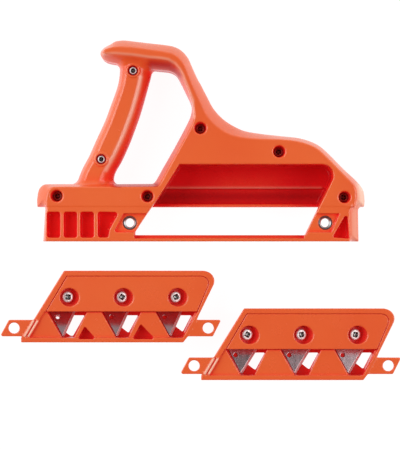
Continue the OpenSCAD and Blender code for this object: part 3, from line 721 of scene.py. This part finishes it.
def line_dist(g, a, b):
    """Distance in plan to the stretch from a to b."""
    ex, ey = b[0] - a[0], b[1] - a[1]
    t = np.clip(((g.x - a[0]) * ex + (g.y - a[1]) * ey) / (ex * ex + ey * ey), 0, 1)
    return np.sqrt((g.x - a[0] - t * ex) ** 2 + (g.y - a[1] - t * ey) ** 2)


def cart_base(name, body, node, at, bed, pockets):
    g = Grid((-85.5, -12.5, -1), (85.5, 45, 35.4), 0.5)
    tan = math.tan(math.radians(bed))
    back = FENCE_C - BED_WALL
    plan = g.poly(smooth(CART)) + 0.085 * np.maximum(DEPTH - 2 - g.z, 0)
    u = rmax(plan, g.z - DEPTH, 0.7)
    under = back - tan * np.clip(g.y - TIP_Y, 0, SOLE_Y + 0.3 - TIP_Y) - g.z
    low = np.maximum(under, np.where(g.y < -9.7, DEPTH - 6 - g.z, -50))
    section = np.minimum(low, np.maximum(15 - g.y, -g.z))
    u = rmax(u, section, 0.3)
    for e in ([(-77.4, 6.2), (-83.6, -5.2), (-82.2, -6.3), (-60, -6.3), (-54, 6.2)], [(56, 6.2), (83.3, 6.2), (77, -6.3), (52, -6.3)]):
        u = rmin(u, rmax(g.rounded(e, 0.9), np.abs(g.z - DEPTH + 1.5) - 1.5, 0.5), 0.5)
    u = cut(u, rmax(g.poly(smooth(CLAMP_SEAT)), DEPTH - 4.8 - g.z, 0.3), 0.35)
    field = g.poly([(-50.3, 12.4), (-60.8, -4.6), (-62.0, -7.1), (54.4, -7.1), (65.5, 12.4)])
    u = cut(u, rmax(field, DEPTH - 1.7 - g.z, 0.5), 0.55)
    seam = line_dist(g, (-57.3, 5.4), (-63.8, -5.8))
    u = cut(u, rmax(seam - 0.75, DEPTH - 0.7 - g.z, 0.3), 0.3)
    ribs = [((-58.9, 5.3), (-65.3, -5.9)), ((-55.8, 5.1), (-62.3, -5.9))]
    for a, b in ribs:
        u = rmin(u, rmax(rmax(line_dist(g, a, b) - 0.95, g.z - DEPTH - 0.8, 0.8), DEPTH - 3 - g.z), 0.2)
    seat = g.poly(smooth(CLAMP_SEAT))
    for i in range(3):
        x, y, z = local(g, bed_matrix(i, bed))
        left, rear, right = blade_reach(bed)
        pocket = rmax(convex([(-2.8, 15.7), (left - 0.3, rear + 0.1), (left - 0.3, -0.6), (right + 0.3, -0.6), (right + 0.3, 15.7)], x, y), -z)
        u = cut(u, np.maximum(pocket, seat), 0.2)
        bx = BLADE_X + i * PITCH
        px, py = g.x - bx, g.y - EDGE_Y
        # the windows lean: their foot to the left in the steep cartridge, to the right in the shallow one
        lx = px + math.tan(math.radians(3 if bed > 15 else -3)) * (DEPTH - g.z)
        k = 0 if bed > 15 else 1.1
        vee = convex([(-10.0 - k, 0.4), (1.35 - k, -19.7), (10.6, -19.7), (20.6, 0.4)], lx, py, 0.5)
        level = local(g, bed_matrix(i, bed, 0.0))[2] + (right + 0.2) * math.sin(math.radians(RAKE))
        u = cut(u, rmax(vee, rmax(-z, -level, 0.4), 0.3), 0.5)
        if pockets and i == 0:
            u = cut(u, rmax(np.sqrt((x + 3.4) ** 2 + (y + 5.7) ** 2) - 1.45, -12 - z), 0.1)
        r = ((0, 1, 1.25) if bed > 15 else (1, 1.15, 1.3))[i]
        slot = convex([(3, -3.9), (18.3, -3.9), (9.5 + 1.8 * r, -19.2 + 2.6 * r), (7.6 + 2.8 * r, -19.2 + 2.6 * r), (2.4 + 1.8 * r, -15.6 + 3.7 * r)], lx, py, 0.4)
        u = cut(u, slot, 0.15)
        x, y, z = local(g, screw_matrix(i))
        u = cut(u, rmax(np.sqrt(x**2 + y**2) - 2.82, -14.5 - z))
    for s in (-1, 1):
        u = cut(u, g.circle(s * SEAT, 0, 4.15), 0.4)
    hollow = box3(g, (-31, 33, None), (66, 37.6, DEPTH - 9), 1.0)
    for i in (0, 1):
        c = BLADE_X + i * PITCH
        hollow = rmin(hollow, box3(g, (c + 17.6, 18, None), (c + 27.4, 35, DEPTH - 9), 1.0), 0.5)
    hollow = rmin(hollow, box3(g, (61, 21, None), (66, 35, DEPTH - 9), 1.0), 0.5)
    u = cut(u, hollow, 0.6)
    if pockets:
        for pts in ([(-20.1, 1.4), (-25.3, -8.4), (-11.7, -8.4)], [(22.3, 3.1), (16.2, -8.4), (33.2, -8.4)]):
            u = cut(u, rmax(g.rounded(pts, 1.1), DEPTH - 11 - g.z, 0.6), 0.5)
    p, q, n = skin(g, u)
    ob = mesh_piece(name, p, q, body, [node], ORANGE_CART, at, n)
    # painted highlight on the two ribs at the left ear root
    return mark(ob, p, [([a, b], 0.75, 0.95, DEPTH - 1.2, DEPTH + 2) for a, b in ribs])


def cart_clamp(name, body, node, at, bed):
    g = Grid((-51, 11, 5), (76, 41, 35.4), 0.5)
    plan = g.poly(smooth(CLAMP))
    u = rmax(rmax(plan, g.z - (DEPTH - 0.2), 0.4), DEPTH - 4.78 - g.z, 0.3)
    for i in range(3):
        x, y, z = local(g, bed_matrix(i, bed))
        left, rear, right = blade_reach(bed)
        foot = rmax(convex([(-2.2, 15.1), (left + 0.4, rear), (left + 0.4, 0.1), (right - 0.1, 0.1), (right - 0.1, 15.1)], x, y), 1.0 - z)
        foot = np.maximum(np.maximum(foot, g.z - (DEPTH - 2)), plan)
        u = rmin(u, foot)
    for i in range(3):
        x, y, z = local(g, screw_matrix(i))
        rad = np.sqrt(x**2 + y**2)
        u = cut(u, rmax(rad - 6.8, -z, 0.3), 0.9)
        u = cut(u, rad - 2.2)
    p, q, n = skin(g, u)
    return mesh_piece(name, p, q, body, [node], ORANGE_CART, at, n)


def blade(name, body, node, at, i, bed):
    """Pointed blade with one ground edge and a small hole at its left shoulder."""
    n_len = (EDGE_Y - TIP_Y) / math.cos(math.radians(bed))
    reach = blade_reach(bed)[2]
    g = Grid((-11.5, -n_len - 1, -0.6), (reach + 0.8, 16.2, 1.6), 0.25)
    f = convex(blade_line(bed), g.x, g.y)
    f = rmax(f, np.abs(g.z - 0.5) - 0.5, 0.06)
    # ground bevel: falls to the right edge, 1.9 mm wide
    size = math.hypot(n_len, reach - 2.2)
    ex, ey = n_len / size, (2.2 - reach) / size
    f = rmax(f, ((g.x - reach) * ex + g.y * ey + 1.9) * 0.37 + (g.z - 1.0) * 0.93)
    f = cut(f, np.sqrt((g.x + 3.4) ** 2 + (g.y + 5.7) ** 2) - 1.6, 0.06)
    m = bed_matrix(i, bed)
    # bore for the clamp screw, on the screw's own axis
    k = np.array(screw_matrix(i).inverted() @ m)
    across = [k[a, 0] * g.x + k[a, 1] * g.y + k[a, 2] * g.z + k[a, 3] for a in range(2)]
    f = cut(f, np.sqrt(across[0] ** 2 + across[1] ** 2) - 2.45, 0.05)
    p, q, n = skin(g, f)
    r, t = np.array(m)[:3, :3], np.array(m)[:3, 3]
    ob = mesh_piece(name, p @ r.T + t, q, body, [node], BLADE, at, n @ r.T)
    ob.data.materials.append(BLADE_EDGE)
    # faces on the ground bevel take the honed finish
    centre = p[q].mean(axis=1)
    on = ((centre[:, 0] - reach) * ex + centre[:, 1] * ey > -1.85) & (n[q].mean(axis=1)[:, 2] > 0.5) & (centre[:, 1] < 0.5)
    ob.data.polygons.foreach_set("material_index", on.astype(np.int32))
    return ob


front_shell()
rear_shell()
BODY_M = Matrix.Translation(BODY_AT)
shell_shape = pan_head(3.5, 2.6, 1.95, 24, 0.22)
grip_shape = pan_head(2.95, 2.4, 1.75, 20, 0.2)
clamp_shape = pan_head(4.2, 3.0, 2.0, 22, 0.22)
turn = [20, 65, 5, 40, 80]
screw_group("shell_screws_plated", "plane", "shell_screws",
            [BODY_M @ Matrix.Translation((x, y, 32)) @ Matrix.Rotation(math.radians(a), 4, "Z") for (x, y), a in zip(SHELL_SCREWS, turn)], shell_shape, DARK_ZINC)
screw_group("grip_screws_plated", "plane", "grip_screws",
            [BODY_M @ Matrix.Translation((x, y, 34)) @ Matrix.Rotation(math.radians(a), 4, "Z") for (x, y), a in zip(GRIP_SCREWS, (30, 50))], grip_shape, ZINC)
seat_insert("seat_insert_left", -1)
seat_insert("seat_insert_right", 1)
for kind, at, bed, pockets, turns in (("steep", STEEP_AT, 20, True, (40, 10, 70)), ("shallow", SHALLOW_AT, 11, False, (15, 55, 35))):
    body = kind + "_cartridge"
    place = Matrix.Translation(at)
    cart_base(kind + "_base_moulded", body, kind + "_base", at, bed, pockets)
    cart_clamp(kind + "_clamp_plate_moulded", body, kind + "_clamp_plate", at, bed)
    for i, side in enumerate(("left", "middle", "right")):
        blade(f"{kind}_blade_{side}_ground", body, f"{kind}_blade_{side}", at, i, bed)
    screw_group(kind + "_clamp_screws_plated", body, kind + "_clamp_screws",
                [place @ screw_matrix(i) @ Matrix.Rotation(math.radians(turns[i]), 4, "Z") for i in range(3)], clamp_shape, ZINC)
    for ob in scene.objects:
        if ob.name == kind + "_thread_inserts":
            ob.data.materials.clear()
            ob.data.materials.append(BRASS)

# ------------------------------------------------------------------ floor, light
floor_me = bpy.data.meshes.new("floor")
floor_me.from_pydata([(-3, -3, 0), (3, -3, 0), (3, 3, 0), (-3, 3, 0)], [], [(0, 1, 2, 3)])
floor = bpy.data.objects.new("floor", floor_me)
scene.collection.objects.link(floor)
floor.location.z = -0.0004
fm, fnt, fb = new_material("pale_floor")
fb.inputs["Base Color"].default_value = (0.15, 0.15, 0.15, 1)
fb.inputs["Roughness"].default_value = 0.9
fb.inputs["Specular IOR Level"].default_value = 0.0
fb.inputs["Emission Color"].default_value = (1, 1, 1, 1)
fb.inputs["Emission Strength"].default_value = 0.95
floor_me.materials.append(fm)

world = bpy.data.worlds.new("studio")
scene.world = world
world.use_nodes = True
wn = world.node_tree
bg = wn.nodes["Background"]
tc = add(wn, "ShaderNodeTexCoord")
sep = add(wn, "ShaderNodeSeparateXYZ")
wn.links.new(tc.outputs["Generated"], sep.inputs[0])


def world_range(socket, a, b, c, d):
    m = add(wn, "ShaderNodeMapRange", interpolation_type="SMOOTHSTEP")
    for key, value in zip(("From Min", "From Max", "To Min", "To Max"), (a, b, c, d)):
        m.inputs[key].default_value = value
    wn.links.new(sep.outputs[socket], m.inputs["Value"])
    return m.outputs[0]


def times(a, b):
    m = add(wn, "ShaderNodeMath", operation="MULTIPLY")
    wn.links.new(a, m.inputs[0])
    wn.links.new(b, m.inputs[1])
    return m.outputs[0]


# a tent open towards the camera: dark overhead, bright round the sides, strongest behind the grip and at the left
side = add(wn, "ShaderNodeMapRange", interpolation_type="SMOOTHSTEP")
for key, value in zip(("From Min", "From Max", "To Min", "To Max"), (0.05, 0.55, 0.85, 1.75)):
    side.inputs[key].default_value = value
wn.links.new(times(sep.outputs["X"], sep.outputs["X"]), side.inputs["Value"])
strip = add(wn, "ShaderNodeMapRange", interpolation_type="SMOOTHSTEP")
for key, value in zip(("From Min", "From Max", "To Min", "To Max"), (0.62, 0.88, 1.0, 2.4)):
    strip.inputs[key].default_value = value
wn.links.new(times(sep.outputs["X"], sep.outputs["X"]), strip.inputs["Value"])
strength = times(times(times(world_range("Z", 0.74, 0.95, 1.0, 0.24), world_range("Y", -0.6, 0.5, 0.30, 0.50)), side.outputs[0]), strip.outputs[0])
# pale backdrop low behind the grip, so that the floor meets white there
backdrop = add(wn, "ShaderNodeMath", operation="MAXIMUM")
wn.links.new(strength, backdrop.inputs[0])
wn.links.new(times(world_range("Z", 0.21, 0.30, 1.0, 0.0), world_range("Y", 0.55, 0.8, 0.0, 1.0)), backdrop.inputs[1])
wn.links.new(backdrop.outputs[0], bg.inputs["Strength"])
tint = add(wn, "ShaderNodeMix", data_type="RGBA")
tint.inputs["A"].default_value, tint.inputs["B"].default_value = (1.0, 0.22, 0.18, 1), (1, 1, 1, 1)
wn.links.new(world_range("Y", -0.6, -0.05, 0.0, 1.0), tint.inputs["Factor"])
wn.links.new(tint.outputs["Result"], bg.inputs["Color"])


def softbox(name, loc, size, power, target=(0, 0, 0.02)):
    d = bpy.data.lights.new(name, "AREA")
    d.shape, d.size, d.size_y, d.energy = "RECTANGLE", size[0], size[1], power
    o = bpy.data.objects.new(name, d)
    scene.collection.objects.link(o)
    o.location = loc
    o.rotation_euler = (Vector(target) - Vector(loc)).to_track_quat("-Z", "Y").to_euler()
    return o


softbox("key", (-1.05, 0.32, 1.35), (1.15, 1.15), 12.5)
softbox("fill", (1.0, -0.1, 1.1), (0.8, 0.8), 5.5)
scene.view_settings.view_transform = "Standard"
scene.view_settings.look = "None"
